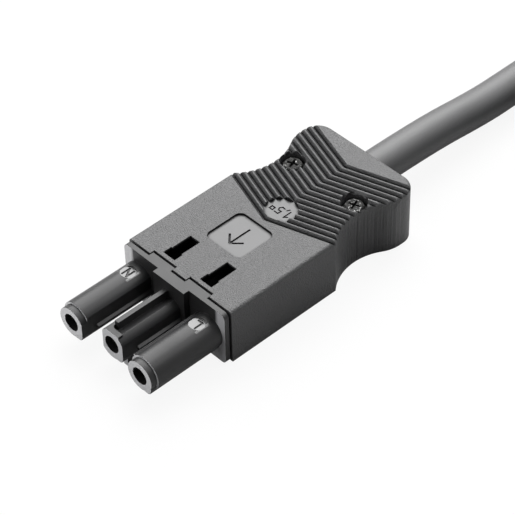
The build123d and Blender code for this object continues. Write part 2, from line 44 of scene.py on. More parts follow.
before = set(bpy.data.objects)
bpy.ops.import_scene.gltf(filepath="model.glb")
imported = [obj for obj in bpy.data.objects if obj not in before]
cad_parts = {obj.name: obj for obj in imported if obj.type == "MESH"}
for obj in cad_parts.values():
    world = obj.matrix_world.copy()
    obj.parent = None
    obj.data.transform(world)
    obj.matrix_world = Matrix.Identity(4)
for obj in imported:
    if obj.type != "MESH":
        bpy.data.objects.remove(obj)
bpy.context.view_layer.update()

MM = 0.001
UP = Vector((0, 0, 1))
POLES = ("neutral", "earth", "live")

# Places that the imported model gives
HOUSING_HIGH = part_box("housing_cover")[1]
SHEATH_LOW, SHEATH_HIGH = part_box("cable_in_housing")
CABLE_DIAMETER = SHEATH_HIGH.z - SHEATH_LOW.z
EXIT = (SHEATH_HIGH.x, 0.0, (SHEATH_LOW.z + SHEATH_HIGH.z) / 2)

# The height of the axis of cable that lies on the floor
AXIS_HEIGHT = 0.00505

# The sheath's length outside the housing, and its route from there to the coil, as the solid
# tube has it
ROUTE = [
    EXIT,
    (0.0524, 0.0, 0.0072),
    (0.0701, 0.0, AXIS_HEIGHT),
    (0.08038, 0.0, AXIS_HEIGHT),
]

# The coil: three turns side by side on the floor, clockwise from 90 degrees, and the last
# stretch of the cable in the groove between the inner two
COIL_MIDDLE_RADIUS = 0.0405
COIL_CENTRE = Vector((0.11, -COIL_MIDDLE_RADIUS - CABLE_DIAMETER, 0.0))
UPPER_RISE = CABLE_DIAMETER / 2 * math.sqrt(3)
CROSSING_RISE = CABLE_DIAMETER * 1.012
FLOOR_TURNS = 3
SWAP_TURN = 120.0
CLIMB_START, CLIMB_END = 925.0, 1040.0
SETTLE_START, SETTLE_END = 1060.0, 1085.0
CROSSING_START, CROSSING_END = 1020.0, 1082.0
FREE_END_TURN = 1206.0

# The tapes around the coil: points around each outline, the stretch where a tape's end lies
# over its start, and how far an edge is rounded, as a share of the thickness
TIE_ANGLES = (-14.0, 194.0)
TIE_DIRECTIONS = 48
TIE_COLUMNS = 8
TIE_PLAY = 0.00015
OVERLAP_FIRST, OVERLAP_LAST = 15, 27
OVERLAP_WIDTH = 0.98
TIE_EDGE = 0.35

# The stripped end, as the solid cores have it, in millimetres
CORE_SIDES = {"neutral": (1.52, -0.866), "earth": (0.0, 1.752), "live": (-1.52, -0.866)}
CORE_STRAIGHT = 6.0
CORE_REACH = 20.0
CORE_SPREAD = 2.4
OUTER_LIFT, EARTH_LIFT = 0.25, 1.2

# Strips around a core. In each period of the earth core the first ones are yellow
CORE_STRIPS = 24
STRIPE_PERIOD = 12
STRIPE_STRIPS = 4

# The crimped end, with its collar as (distance along the core, radius) rows in millimetres
COLLAR_OUTLINE = [(-2.5, 1.62), (-2.45, 1.72), (-0.2, 1.80), (0.6, 1.72), (2.6, 1.28),
                  (3.4, 1.16), (3.5, 1.06)]
COLLAR_SIDES = 28
FERRULE_START, FERRULE_END = 0.2, 11.5
FERRULE_CHAMFER = 0.3
FERRULE_SIDES = 20
CRIMP_START, CRIMP_PITCH, CRIMP_DEPTH = 3.9, 0.8, 0.08
CRIMP_COUNT = 9

# Polished places on the housing's top, and the drawn marks of its waist
PAD_CENTRE = (-0.0002, 0.0, HOUSING_HIGH.z - 0.0004)
PAD_HALF = (0.005, 0.005, 0.00015)
DISC_CENTRE = (HOUSING_HIGH.x - 0.0246, 0.0, HOUSING_HIGH.z - 0.00075)
DISC_HALF = (0.0036, 0.0036, 0.0001)
WAIST_CENTRE = (HOUSING_HIGH.x - 0.0125, 0.0, 0.006)
WAIST_HALF = (0.0065, 0.02, 0.0055)
WAIST_BORDER = 0.001

# The latch windows, below their upper edge, where painted shade blackens the inside
WINDOWS = [(-0.0107, side * 0.0053, 0.009) for side in (1, -1)]
WINDOW_HALF = (0.0036, 0.0018, 0.0039)

# The sleeves' ends lie before the first of these, and the flange's front is free beside and
# below the sleeves, from the other two
# The painted pale reflection of the mating faces lies on the sleeves' ends and on these free
# parts of the flange's front
TIP_FRONT = -0.0335
FLANGE_FREE_Y = 0.0122
FLANGE_FREE_Z = 0.0038
FLANGE_BORDER = 0.0004

# The round pads under the letters on the outer sleeves
MARK_PADS = [(-0.0209, side * 0.01, HOUSING_HIGH.z / 2 + 0.0035) for side in (1, -1)]
MARK_PAD_HALF = (0.0018, 0.0018, 0.0001)

# Borders between finishes, how far a place looks round for walls that give it painted shade as a
# hollow, and the black of the painted shade in hollows and latch windows
CRISP, SOFT = 0.00002, 0.0001
PAINTED_SHADE_REACH = 0.0008
PAINTED_SHADE_BLACK = (0.002, 0.002, 0.002, 1.0)

# The mating faces carry a painted reflection, so much paler than the rest of the carrier, and
# they mirror more
PAINTED_REFLECTION_PALENESS = 34.0
CARRIER_IOR, FACE_IOR, PAD_IOR_GAIN = 1.33, 2.4, 0.3

# Metals and a plastic that the panel doesn't list
COPPER = (0.72, 0.36, 0.2)
TIN = (0.75, 0.75, 0.74)
COLLAR_BLACK = (0.02, 0.02, 0.022)

# The woven tape's threads, dark and light
TAPE_DARK, TAPE_LIGHT = (0.012, 0.012, 0.014, 1.0), (0.09, 0.09, 0.1, 1.0)
THREADS = 0.45

# Softboxes by name, with their direction from the connector, distance and size
SOFTBOXES = {
    "back": ((0.485, 0.45, 0.75), 1.0, 1.0),
    "top": ((0.45, -0.3, 0.84), 1.0, 0.8),
    "side": ((-0.5, 0.62, 0.6), 0.9, 0.6),
    "front": ((-1.0, 0.15, 0.25), 1.0, 0.5),
}
WHITE = (1.0, 1.0, 1.0, 1.0)
ROOM_STRENGTH = 0.05
FLOOR_HALF = 6.0
FLOOR_WHITENESS = 0.9

# The camera, in degrees from the sleeves' side, above the floor and about its own axis
CAMERA_TARGET = Vector((0.00063, 0.0, 0.00645))
CAMERA_DISTANCE = 0.4542
CAMERA_TURN, CAMERA_RISE, CAMERA_ROLL = 47.965, 43.553, -1.705
CAMERA_SHIFT = (0.0272, 0.0014)


class CableSizes(bpy.types.PropertyGroup):
    """Sizes of the cable and of what lies on it"""

    diameter: FloatProperty(
        name="Sheath diameter", description="Outer diameter of the cable's sheath",
        default=CABLE_DIAMETER, min=0.004, max=0.014, unit="LENGTH", precision=5)
    core_diameter: FloatProperty(
        name="Core diameter", description="Outer diameter of one insulated core",
        default=0.003, min=0.001, max=0.005, unit="LENGTH", precision=5)
    ferrule_diameter: FloatProperty(
        name="Ferrule diameter", description="Outer diameter of a crimped ferrule",
        default=0.00196, min=0.001, max=0.004, unit="LENGTH", precision=5)
    tie_width: FloatProperty(
        name="Tie width", description="Width of the tape that holds the coil",
        default=0.009, min=0.004, max=0.02, unit="LENGTH", precision=5)
    tie_thickness: FloatProperty(
        name="Tie thickness", description="Thickness of one layer of that tape",
        default=0.0007, min=0.0003, max=0.002, unit="LENGTH", precision=5)
    points_per_turn: IntProperty(
        name="Points per turn", description="Control points in each turn of the coil",
        default=24, min=12, max=48)


class ConnectorColours(bpy.types.PropertyGroup):
    """Colours of the connector and the cable"""

    housing: FloatVectorProperty(
        name="Housing", description="Moulded plastic of the grip housing", subtype="COLOR",
        default=(0.028, 0.028, 0.029), min=0.0, max=1.0)
    carrier: FloatVectorProperty(
        name="Contact carrier", description="Moulded plastic of the sleeves and flange",
        subtype="COLOR", default=(0.014, 0.014, 0.0145), min=0.0, max=1.0)
    sheath: FloatVectorProperty(
        name="Sheath", description="Flexible sheath of the cable", subtype="COLOR",
        default=(0.034, 0.034, 0.035), min=0.0, max=1.0)
    brass: FloatVectorProperty(
        name="Contacts", description="Metal of the contact sockets", subtype="COLOR",
        default=(0.50, 0.42, 0.28), min=0.0, max=1.0)
    zinc: FloatVectorProperty(
        name="Screws", description="Zinc plating of the screws", subtype="COLOR",
        default=(0.62, 0.62, 0.61), min=0.0, max=1.0)
    blue: FloatVectorProperty(
        name="Neutral core", description="Insulation of the neutral core", subtype="COLOR",
        default=(0.03, 0.14, 0.52), min=0.0, max=1.0)
    brown: FloatVectorProperty(
        name="Live core", description="Insulation of the live core", subtype="COLOR",
        default=(0.17, 0.07, 0.03), min=0.0, max=1.0)
    green: FloatVectorProperty(
        name="Earth core", description="Ground colour of the earth core", subtype="COLOR",
        default=(0.05, 0.33, 0.06), min=0.0, max=1.0)
    yellow: FloatVectorProperty(
        name="Earth stripe", description="Stripe of the earth core", subtype="COLOR",
        default=(0.85, 0.68, 0.05), min=0.0, max=1.0)


class StudioSettings(bpy.types.PropertyGroup):
    """Floor, lamps and camera"""

    floor: FloatVectorProperty(
        name="Floor", description="Colour of the floor that shows in its shadow and in gloss",
        subtype="COLOR", default=(0.55, 0.55, 0.55), min=0.0, max=1.0)
    bounce: FloatVectorProperty(
        name="Bounce", description="Colour of the floor for the light that it throws back",
        subtype="COLOR", default=(0.18, 0.18, 0.18), min=0.0, max=1.0)
    back_power: FloatProperty(
        name="Back softbox", description="Power of the softbox behind the connector",
        default=24.0, min=0.0, max=50.0, unit="POWER")
    top_power: FloatProperty(
        name="Top softbox", description="Power of the softbox over the connector's right",
        default=6.0, min=0.0, max=50.0, unit="POWER")
    side_power: FloatProperty(
        name="Side softbox", description="Power of the softbox at the sleeves' left",
        default=2.5, min=0.0, max=50.0, unit="POWER")
    front_power: FloatProperty(
        name="Front softbox", description="Power of the low softbox before the sleeves' ends",
        default=3.0, min=0.0, max=50.0, unit="POWER")
    lens: FloatProperty(
        name="Lens", description="Focal length of the camera", default=159.4, min=20.0,
        max=400.0, unit="CAMERA")


class Shader:
    """A material's node tree, with short ways to add and join nodes."""

    def __init__(self, name):
        self.material = bpy.data.materials.new(name)
        self.material.use_nodes = True
        self.tree = self.material.node_tree
        self.surface = self.tree.nodes["Principled BSDF"]

    def set(self, **values):
        """Sets the surface's own sockets; a name's spaces are written as underscores."""
        for name, value in values.items():
            self.surface.inputs[name.replace("_", " ")].default_value = value
        return self

    def add(self, kind, inputs=None, **options):
        """Adds a node and gives its sockets numbers, colours or other nodes' outputs."""
        node = self.tree.nodes.new(kind)
        for name, value in options.items():
            setattr(node, name, value)
        for key, value in (inputs or {}).items():
            if isinstance(value, bpy.types.NodeSocket):
                self.tree.links.new(value, node.inputs[key])
            else:
                node.inputs[key].default_value = value
        return node

    def join(self, output, name):
        """Feeds one of the surface's sockets."""
        self.tree.links.new(output, self.surface.inputs[name])

    def place(self):
        """Position on the object, in metres, which doesn't depend on the camera."""
        return self.add("ShaderNodeTexCoord").outputs["Object"]

    def math(self, operation, first, second=0.0, clamp=False):
        node = self.add("ShaderNodeMath", {0: first, 1: second}, operation=operation)
        node.use_clamp = clamp
        return node.outputs[0]

    def noise(self, place, scale, detail=3.0, roughness=0.5, stretch=None):
        """Noise from 0 to 1, scale in cells a metre, stretched along an axis if asked."""
        if stretch:
            place = self.add("ShaderNodeMapping", {"Vector": place, "Scale": stretch}).outputs[0]
        values = {"Vector": place, "Scale": scale, "Detail": detail, "Roughness": roughness}
        return self.add("ShaderNodeTexNoise", values).outputs["Fac"]

    def ramp(self, factor, low, high, start=0.0, end=1.0):
        """Number that goes from start to end while factor goes from low to high."""
        values = {"Value": factor, "From Min": low, "From Max": high, "To Min": start,
                  "To Max": end}
        return self.add("ShaderNodeMapRange", values).outputs[0]

    def vary(self, noise, low, high):
        """Number that goes from low to high over the middle of a noise's range."""
        return self.ramp(noise, 0.3, 0.7, low, high)

    def blend(self, factor, first, second):
        """Colour between two others."""
        values = {0: factor, 6: first, 7: second}
        return self.add("ShaderNodeMix", values, data_type="RGBA").outputs[2]

    def inside(self, place, centre, half, soft):
        """1 inside a box around centre and 0 outside it, with a soft border."""
        offset = self.add("ShaderNodeVectorMath", {0: place, 1: centre}, operation="SUBTRACT")
        size = self.add("ShaderNodeVectorMath", {0: offset.outputs[0]}, operation="ABSOLUTE")
        over = self.add("ShaderNodeVectorMath", {0: size.outputs[0], 1: half},
                        operation="SUBTRACT")
        parts = self.add("ShaderNodeSeparateXYZ", {0: over.outputs[0]}).outputs
        worst = self.math("MAXIMUM", self.math("MAXIMUM", parts[0], parts[1]), parts[2])
        return self.ramp(worst, soft, -soft)

    def any_inside(self, place, centres, half, soft):
        """1 inside any of several like boxes."""
        return functools.reduce(lambda first, last: self.math("MAXIMUM", first, last),
                                [self.inside(place, centre, half, soft) for centre in centres])

    def bump(self, layers, bevel=None):
        """Normal from (height, depth in metres) layers over rounded edges."""
        normal = None
        if bevel:
            normal = self.add("ShaderNodeBevel", {"Radius": bevel}, samples=6).outputs[0]
        for height, depth in layers:
            values = {"Height": height, "Distance": depth, "Strength": 1.0}
            if normal:
                values["Normal"] = normal
            normal = self.add("ShaderNodeBump", values).outputs[0]
        self.join(normal, "Normal")


def colour(value, factor=1.0):
    """RGBA from a property's colour."""
    return (*[channel * factor for channel in value], 1.0)


def coloured(shader, base, spread, factor):
    """Gives a surface its colour, a little lighter and darker from place to place."""
    low, high = colour(base, 1 - spread), colour(base, 1 + spread)
    shader.join(shader.blend(factor, low, high), "Base Color")


def housing_plastic(base):
    """Black plastic from a spark-eroded mould, with polished pad and marking disc, and painted
    shade in its hollows and latch windows.
    """
    shader = Shader("housing_plastic").set(IOR=1.47)
    place = shader.place()
    cloud = shader.noise(place, scale=90.0, detail=4.0)
    grain = shader.noise(place, scale=3000.0, detail=2.0, roughness=0.6)
    pad = shader.inside(place, PAD_CENTRE, PAD_HALF, CRISP)
    disc = shader.inside(place, DISC_CENTRE, DISC_HALF, CRISP)
    polished = shader.math("MAXIMUM", pad, disc)
    # Painted shade: the inside of the latch windows is made black, without gloss
    painted_window_shade = shader.any_inside(place, WINDOWS, WINDOW_HALF, SOFT)
    # Painted shade: ambient occlusion darkens grooves, screw wells and engraved marks towards
    # black and takes their gloss away
    open_share = shader.add("ShaderNodeAmbientOcclusion", {"Distance": PAINTED_SHADE_REACH},
                            samples=8, only_local=True).outputs["AO"]
    painted_shade = shader.math("MAXIMUM", shader.ramp(open_share, 0.97, 0.45), painted_window_shade)
    mixed = shader.blend(cloud, colour(base, 0.82), colour(base, 1.18))
    shader.join(shader.blend(painted_shade, mixed, PAINTED_SHADE_BLACK), "Base Color")
    shader.join(shader.ramp(painted_shade, 0.0, 1.0, 0.5, 0.0), "Specular IOR Level")
    rough = shader.vary(grain, 0.40, 0.50)
    smooth = shader.vary(cloud, 0.34, 0.40)
    finish = shader.add("ShaderNodeMix", {0: polished, 2: rough, 3: smooth}, data_type="FLOAT")
    shader.join(shader.math("ADD", finish.outputs[0], painted_window_shade, True), "Roughness")
    height = shader.math("MULTIPLY", grain, shader.math("SUBTRACT", 1.0, polished))
    draw_marks = shader.noise(place, scale=1500.0, detail=1.0, stretch=(1.0, 1.0, 0.01))
    waist = shader.inside(place, WAIST_CENTRE, WAIST_HALF, WAIST_BORDER)
    lines = shader.math("MULTIPLY", draw_marks, waist)
    shader.bump([(height, 0.0002), (lines, 0.0006)], bevel=0.00015)
    return shader.material


def painted_reflection_faces(shader, place):
    """1 on the sleeves' ends and the flange's free front, where the pale reflection is painted,
    and 0 elsewhere.
    """
    facing = shader.add("ShaderNodeNewGeometry").outputs["Normal"]
    across = shader.add("ShaderNodeSeparateXYZ", {0: facing}).outputs[0]
    x, y, z = shader.add("ShaderNodeSeparateXYZ", {0: place}).outputs
    front = shader.ramp(across, -0.8, -0.95)
    tip = shader.ramp(x, TIP_FRONT + SOFT, TIP_FRONT - SOFT)
    beside = shader.ramp(shader.math("ABSOLUTE", y), FLANGE_FREE_Y - FLANGE_BORDER,
                         FLANGE_FREE_Y + FLANGE_BORDER)
    below = shader.ramp(z, FLANGE_FREE_Z + FLANGE_BORDER, FLANGE_FREE_Z - FLANGE_BORDER)
    free = shader.math("MAXIMUM", tip, shader.math("MAXIMUM", beside, below))
    return shader.math("MULTIPLY", front, free)


def carrier_plastic(base):
    """Smooth black plastic, glossier on the faces that meet the mating plug, with a painted pale
    reflection on those faces and painted shade in the latch windows.
    """
    shader = Shader("carrier_plastic").set(IOR=CARRIER_IOR)
    place = shader.place()
    cloud = shader.noise(place, scale=160.0, detail=4.0)
    grain = shader.noise(place, scale=4200.0, detail=2.0)
    face = painted_reflection_faces(shader, place)
    # Painted shade: the inside of the latch windows is made black, without gloss
    painted_window_shade = shader.any_inside(place, WINDOWS, WINDOW_HALF, SOFT)
    mixed = shader.blend(cloud, colour(base, 0.85), colour(base, 1.15))
    mixed = shader.blend(painted_window_shade, mixed, PAINTED_SHADE_BLACK)
    # Painted reflection: the mating faces' base colour is made many times paler
    shader.join(shader.blend(face, mixed, colour(base, PAINTED_REFLECTION_PALENESS)), "Base Color")
    pads = shader.any_inside(place, MARK_PADS, MARK_PAD_HALF, CRISP)
    shine = shader.math("ADD", shader.ramp(face, 0.0, 1.0, CARRIER_IOR, FACE_IOR),
                        shader.math("MULTIPLY", pads, PAD_IOR_GAIN))
    shader.join(shine, "IOR")
    shader.join(shader.ramp(painted_window_shade, 0.0, 1.0, 0.5, 0.0), "Specular IOR Level")
    rough = shader.vary(cloud, 0.36, 0.44)
    polished = shader.math("MAXIMUM", face, pads)
    smooth = shader.ramp(polished, 0.0, 1.0, 0.0, 0.2)
    rough = shader.math("SUBTRACT", rough, smooth)
    shader.join(shader.math("ADD", rough, painted_window_shade, True), "Roughness")
    shader.bump([(cloud, 0.00002), (grain, 0.000006)], bevel=0.00012)
    return shader.material


def sheath_plastic(base):
    """Satin black sheath with a slightly uneven surface."""
    shader = Shader("cable_sheath").set(IOR=1.54, Specular_IOR_Level=0.5)
    place = shader.place()
    cloud = shader.noise(place, scale=140.0, detail=4.0)
    grain = shader.noise(place, scale=4200.0, detail=2.0)
    coloured(shader, base, 0.2, cloud)
    shader.join(shader.vary(grain, 0.46, 0.56), "Roughness")
    shader.bump([(grain, 0.000008), (cloud, 0.00006)])
    return shader.material


def metal(name, base, rough, scale=900.0):
    """Plated or turned metal with fine scratches."""
    shader = Shader(name).set(Metallic=1.0)
    place = shader.place()
    scratches = shader.noise(place, scale, detail=5.0, roughness=0.65, stretch=(1.0, 0.25, 1.0))
    coloured(shader, base, 0.35, scratches)
    shader.join(shader.vary(scratches, rough - 0.1, rough + 0.12), "Roughness")
    shader.bump([(scratches, 0.00003)], bevel=0.00008)
    return shader.material


def dark_patched_zinc(base):
    """Zinc plating, near black in patches between bright ones."""
    shader = Shader("zinc_steel").set(Metallic=1.0)
    place = shader.place()
    patches = shader.noise(place, scale=1900.0, detail=4.0, roughness=0.7)
    bright = shader.ramp(patches, 0.58, 0.70)
    shader.join(shader.blend(bright, colour(base, 0.04), colour(base)), "Base Color")
    shader.join(shader.ramp(patches, 0.4, 0.7, 0.5, 0.25), "Roughness")
    shader.bump([(patches, 0.0004)], bevel=0.0001)
    return shader.material


def smooth_plastic(name, base):
    """Smooth insulation or a moulded collar."""
    shader = Shader(name).set(IOR=1.5, Specular_IOR_Level=0.5)
    cloud = shader.noise(shader.place(), scale=300.0, detail=3.0)
    coloured(shader, base, 0.12, cloud)
    shader.join(shader.vary(cloud, 0.28, 0.38), "Roughness")
    shader.bump([(cloud, 0.00003)])
    return shader.material


def woven_tape():
    """Hook-and-loop tape: a plain weave with a fuzzy nap."""
    shader = Shader("tie_fabric").set(Roughness=0.9, Sheen_Weight=0.4, Sheen_Roughness=0.5)
    weave = {"Vector": shader.add("ShaderNodeUVMap", uv_map="tape").outputs[0],
             "Scale": THREADS, "Distortion": 0.6}
    across = shader.add("ShaderNodeTexWave", weave, bands_direction="X").outputs[1]
    along = shader.add("ShaderNodeTexWave", weave, bands_direction="Y").outputs[1]
    threads = shader.math("MULTIPLY", across, along)
    nap = shader.noise(shader.place(), scale=6000.0)
    mixed = shader.blend(shader.math("MULTIPLY", threads, nap), TAPE_DARK, TAPE_LIGHT)
    shader.join(mixed, "Base Color")
    shader.bump([(threads, 0.0002), (nap, 0.0001)])
    return shader.material


def dress(node, material):
    """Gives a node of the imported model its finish."""
    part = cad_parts[node]
    for slot in part.material_slots:
        slot.material = material


def add_mesh(name, build, material, body="root"):
    """New piece from a function that fills a bmesh."""
    mesh = bpy.data.meshes.new(name)
    shape = bmesh.new()
    build(shape)
    bmesh.ops.recalc_face_normals(shape, faces=shape.faces)
    shape.to_mesh(mesh)
    shape.free()
    for face in mesh.polygons:
        face.use_smooth = True
    piece = bpy.data.objects.new(name, mesh)
    bpy.context.scene.collection.objects.link(piece)
    for one in material if isinstance(material, (list, tuple)) else [material]:
        mesh.materials.append(one)
    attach(piece, body)
    return piece


def spline_curve(name, points):
    """Smooth curve with those control points."""
    curve = bpy.data.curves.new(name, "CURVE")
    curve.dimensions = "3D"
    spline = curve.splines.new("NURBS")
    spline.points.add(len(points) - 1)
    for control, point in zip(spline.points, points):
        control.co = (*point, 1.0)
    spline.order_u = 3
    spline.use_endpoint_u = True
    spline.resolution_u = 10
    return curve


def line_of(name, points):
    """Points along the smooth curve of a core."""
    curve = spline_curve(name, points)
    holder = bpy.data.objects.new(name, curve)
    line = bpy.data.meshes.new_from_object(holder)
    found = [vertex.co.copy() for vertex in line.vertices]
    bpy.data.objects.remove(holder)
    bpy.data.curves.remove(curve)
    bpy.data.meshes.remove(line)
    return found


def ease(value, start, end):
    """Smooth step from 0 to 1 between start and end."""
    share = min(1.0, max(0.0, (value - start) / (end - start)))
    return share * share * (3 - 2 * share)


def coil_point(turn):
    """The cable's axis after it has turned by so many degrees round the coil."""
    lap = min(int(turn // 360), FLOOR_TURNS - 1)
    radius = COIL_MIDDLE_RADIUS + (1 - lap) * CABLE_DIAMETER
    rise = 0.0
    if lap < FLOOR_TURNS - 1:
        lap_end = 360 * (lap + 1)
        radius -= CABLE_DIAMETER * ease(turn, lap_end - SWAP_TURN, lap_end)
    else:
        rise = CROSSING_RISE * ease(turn, CLIMB_START, CLIMB_END)
        rise -= (CROSSING_RISE - UPPER_RISE) * ease(turn, SETTLE_START, SETTLE_END)
        radius += CABLE_DIAMETER / 2 * ease(turn, CROSSING_START, CROSSING_END)
    angle = math.radians(90 - turn)
    return COIL_CENTRE + Vector((radius * math.cos(angle), radius * math.sin(angle),
                                 AXIS_HEIGHT + rise))


def coil_points(per_turn):
    """Control points of the turns, set out by the little that the curve cuts inside."""
    step = 360.0 / per_turn
    grow = 1 / math.cos(math.radians(step / 2))
    count = round(FREE_END_TURN / step)
    points = []
    for index in range(count + 1):
        point = coil_point(FREE_END_TURN * index / count)
        flat = Vector((point.x, point.y, 0)) - COIL_CENTRE
        if index not in (0, count):
            flat *= grow
        points.append(tuple(COIL_CENTRE + flat + UP * point.z))
    return points


def make_cable(sizes, material):
    """The sheathed cable, from the housing's rear wall to its stripped end."""
    points = ROUTE + coil_points(sizes.points_per_turn)
    curve = spline_curve("cable", points)
    curve.splines[0].resolution_u = 6
    curve.bevel_depth = sizes.diameter / 2
    curve.bevel_resolution = 7
    curve.use_fill_caps = True
    curve.materials.append(material)
    cable = bpy.data.objects.new("cable", curve)
    bpy.context.scene.collection.objects.link(cable)
    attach(cable, "root")
    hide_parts("cable_run", "cable_coil")
    return cable


def ring_around(shape, centre, along, radius, sides):
    """Vertices of a circle that stands across a direction."""
    side = along.cross(UP).normalized()
    lift = side.cross(along).normalized()
    turns = [2 * math.pi * step / sides for step in range(sides)]
    return [shape.verts.new(centre + radius * (math.cos(turn) * side + math.sin(turn) * lift))
            for turn in turns]


def join_rings(shape, rings, colours=None):
    """Skin over rings of vertices, with closed ends. colours gives each strip's material."""
    sides = len(rings[0])
    for first, last in zip(rings, rings[1:]):
        for step in range(sides):
            follow = (step + 1) % sides
            face = shape.faces.new((first[step], first[follow], last[follow], last[step]))
            if colours:
                face.material_index = colours(step)
    shape.faces.new(rings[0][::-1])
    shape.faces.new(rings[-1])


def tube(shape, line, radius, sides, colours=None):
    """Round tube along a line."""
    rings = []
    for index, centre in enumerate(line):
        ahead = line[min(index + 1, len(line) - 1)] - line[max(index - 1, 0)]
        rings.append(ring_around(shape, centre, ahead, radius, sides))
    join_rings(shape, rings, colours)


def free_end_frame():
    """Centre of the sheath's far end, with its directions outwards and onwards."""
    angle = math.radians(90 - FREE_END_TURN)
    outwards = Vector((math.cos(angle), math.sin(angle), 0))
    onwards = Vector((math.sin(angle), -math.cos(angle), 0))
    return coil_point(FREE_END_TURN), outwards, onwards


def core_route(pole):
    """Control points of one core beyond the sheath, as its solid has them."""
    centre, outwards, onwards = free_end_frame()
    side, height = CORE_SIDES[pole]
    spread = math.copysign(CORE_SPREAD, side) if side else 0.0
    lift = OUTER_LIFT if side else EARTH_LIFT
    rows = [(side, height, 0.0), (side, height, CORE_STRAIGHT),
            (side + spread, height + lift, CORE_REACH)]
    return [centre + (outwards * a + UP * b + onwards * c) * MM for a, b, c in rows]


def stripe(step):
    """Material of a strip of the earth core: 1, for yellow, on two opposite stripes."""
    return int(step % STRIPE_PERIOD < STRIPE_STRIPS)


def turned(shape, start, along, rows, sides):
    """Turned piece along a direction, from (distance, radius) rows in millimetres."""
    rings = [ring_around(shape, start + along * distance * MM, along, radius * MM, sides)
             for distance, radius in rows]
    join_rings(shape, rings)


def ferrule_outline(radius):
    """Outline of a crimped ferrule, as (distance, radius) rows in millimetres."""
    low = radius - CRIMP_DEPTH
    crimps = [(CRIMP_START + index * CRIMP_PITCH, radius if index % 2 else low)
              for index in range(CRIMP_COUNT)]
    return [(FERRULE_START, radius), *crimps, (FERRULE_END - FERRULE_CHAMFER, radius),
            (FERRULE_END, low)]


def tie_outline(angle, grow):
    """Outline around the turns at an angle, as (distance from the axis, height) points."""
    places = []
    turn = (90 - angle) % 360
    while turn < FREE_END_TURN:
        place = coil_point(turn) - COIL_CENTRE
        places.append((math.hypot(place.x, place.y), place.z))
        turn += 360
    reach = CABLE_DIAMETER / 2 + grow
    points = []
    for index in range(TIE_DIRECTIONS):
        direction = math.radians(360 * (index + 0.5) / TIE_DIRECTIONS - 90)
        out, up = math.cos(direction), math.sin(direction)
        distance, height = max(places, key=lambda place: place[0] * out + place[1] * up)
        points.append((distance + reach * out, height + reach * up))
    return points


def band_layer(shape, angle, width, grow, edge, columns, first, last):
    """Rows of vertices of one side of a tape, with edges that are set in a little."""
    rows = []
    for column in range(columns + 1):
        share = 2 * column / columns - 1
        turn = angle + math.degrees(width / 2 / COIL_MIDDLE_RADIUS) * share
        outline = tie_outline(turn, grow + edge * abs(share) ** 6)
        flat = Vector((math.cos(math.radians(turn)), math.sin(math.radians(turn)), 0))
        rows.append([shape.verts.new(COIL_CENTRE + flat * distance + UP * height)
                     for distance, height in outline[first:last]])
    return rows


def band(shape, angle, width, inner, outer, columns, uv, first=0, last=TIE_DIRECTIONS):
    """Tape around the coil's section, or a stretch of it, with rounded edges."""
    edge = (outer - inner) * TIE_EDGE
    inner_rows = band_layer(shape, angle, width, inner, edge, columns, first, last)
    outer_rows = band_layer(shape, angle, width, outer, -edge, columns, first, last)
    count = last - first
    whole = count == TIE_DIRECTIONS
    spans = count if whole else count - 1
    for rows in (inner_rows, outer_rows):
        around = 0.0
        for index in range(spans):
            follow = (index + 1) % count
            onward = around + (rows[0][follow].co - rows[0][index].co).length / MM
            for column in range(columns):
                face = shape.faces.new((rows[column][index], rows[column][follow],
                                        rows[column + 1][follow], rows[column + 1][index]))
                across = width / columns / MM
                low, high = column * across, (column + 1) * across
                places = ((around, low), (onward, low), (onward, high), (around, high))
                for loop, place in zip(face.loops, places):
                    loop[uv].uv = place
            around = onward
    for column in (0, columns):
        for index in range(spans):
            follow = (index + 1) % count
            shape.faces.new((inner_rows[column][index], inner_rows[column][follow],
                             outer_rows[column][follow], outer_rows[column][index]))
    if not whole:
        for index in (0, count - 1):
            for column in range(columns):
                shape.faces.new((inner_rows[column][index], inner_rows[column + 1][index],
                                 outer_rows[column + 1][index], outer_rows[column][index]))


def make_core_end(pole, sizes, insulation, collar_black, tin):
    """One core beyond the sheath, with its crimped collar and ferrule."""
    route = line_of(f"route_{pole}", core_route(pole))
    along = (route[-1] - route[-2]).normalized()
    colours = stripe if pole == "earth" else None

    def core(shape):
        tube(shape, route, sizes.core_diameter / 2, CORE_STRIPS, colours)

    def collar(shape):
        turned(shape, route[-1], along, COLLAR_OUTLINE, COLLAR_SIDES)

    def ferrule(shape):
        outline = ferrule_outline(sizes.ferrule_diameter / 2 / MM)
        turned(shape, route[-1], along, outline, FERRULE_SIDES)

    pieces = {
        "free_core": add_mesh(f"stripped_core_{pole}", core, insulation),
        "ferrule_collar": add_mesh(f"crimp_collar_{pole}", collar, collar_black),
        "ferrule": add_mesh(f"crimp_ferrule_{pole}", ferrule, tin),
    }
    for solid, piece in pieces.items():
        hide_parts(f"{solid}_{pole}")
    return list(pieces.values())


def make_tie(number, angle, sizes, tape):
    """Tape around the coil at an angle, with its end laid over its start."""

    def strap(shape):
        uv = shape.loops.layers.uv.new("tape")
        inner = TIE_PLAY
        outer = inner + sizes.tie_thickness
        top = outer + sizes.tie_thickness
        band(shape, angle, sizes.tie_width, inner, outer, TIE_COLUMNS, uv)
        band(shape, angle, sizes.tie_width * OVERLAP_WIDTH, outer, top, TIE_COLUMNS, uv,
             first=OVERLAP_FIRST, last=OVERLAP_LAST)

    tie = add_mesh(f"tie_band_{number}", strap, tape)
    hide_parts(f"coil_tie_{number}")
    return tie


def settings_of(context):
    """The settings that the operators read."""
    scene = context.scene
    return scene.connector_sizes, scene.connector_colours, scene.connector_studio


